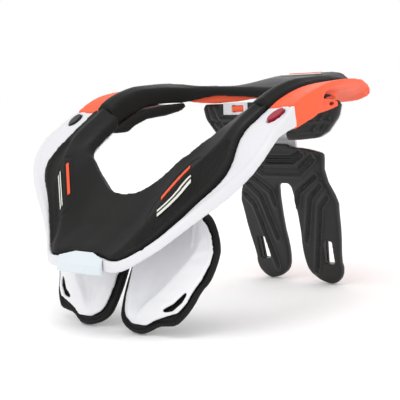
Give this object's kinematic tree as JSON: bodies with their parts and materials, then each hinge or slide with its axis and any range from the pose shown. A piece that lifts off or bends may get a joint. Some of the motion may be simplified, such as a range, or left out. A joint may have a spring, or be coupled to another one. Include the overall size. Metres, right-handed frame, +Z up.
{
  "type": "motocross neck brace",
  "caption": "Hinged protective collar for off-road riding: foam-topped ring in two halves, twin chest shields in front, a back pad and a forked leg panel behind.",
  "frame": {"origin": "middle of the bounding box in plan, on the surface that the brace stands on", "axes": "+Z up, +X the rider's left, -Y the front of the brace (the chest side)"},
  "size_m": [0.276, 0.3301, 0.2001],
  "materials": {
    "white_shell": "smooth moulded nylon, satin gloss",
    "orange_shell": "smooth moulded nylon, satin gloss",
    "black_foam": "closed-cell foam with a fine matt skin",
    "black_plastic": "fine-grained matt",
    "white_inlay": "matt moulded inlay",
    "orange_inlay": "matt moulded inlay",
    "pale_tag": "gloss",
    "red_button": "clear tinted gloss"
  },
  "bodies": {
    "front_half": {"front_frame": "white_shell", "front_foam": "black_foam", "hinge_cap": "black_plastic", "front_tag": "pale_tag", "chest_pad_left": "black_foam", "chest_pad_right": "black_foam", "chest_shield_left": "white_shell", "chest_shield_right": "white_shell", "chest_bracket_left": "white_shell", "chest_bracket_right": "white_shell", "front_inlay_left": "white_inlay", "front_inlay_right": "white_inlay", "front_accent_left": "orange_inlay", "front_accent_right": "orange_inlay"},
    "rear_half": {"rear_shell": "orange_shell", "rear_foam": "black_foam", "shoulder_guard_left": "orange_shell", "shoulder_guard_right": "orange_shell", "shoulder_pad_left": "black_foam", "shoulder_pad_right": "black_foam", "pin_carrier_left": "white_shell", "pin_carrier_right": "white_shell", "strut_pin_left": "orange_shell", "strut_pin_right": "orange_shell", "upper_back_pad": "black_foam", "back_plate": "white_shell", "back_mount": "black_plastic", "leg_panel": "black_foam", "leg_shell": "black_plastic", "back_strut": "white_shell", "rear_inlay": "white_inlay", "rear_accent": "orange_inlay"},
    "button": {"release_button": "red_button"}
  },
  "joints": [
    {"name": "rear_half_swing", "type": "hinge", "parent": "front_half", "child": "rear_half", "pos_m": [-0.1325, -0.0461, 0.165], "axis": [0, 0, 1], "range_deg": [0, 55]},
    {"name": "button_press", "type": "slide", "parent": "front_half", "child": "button", "axis": [0, 0.515, -0.8572], "range_m": [0, 0.0015], "stiffness_N_per_m": 600, "springref_m": -0.001}
  ]
}
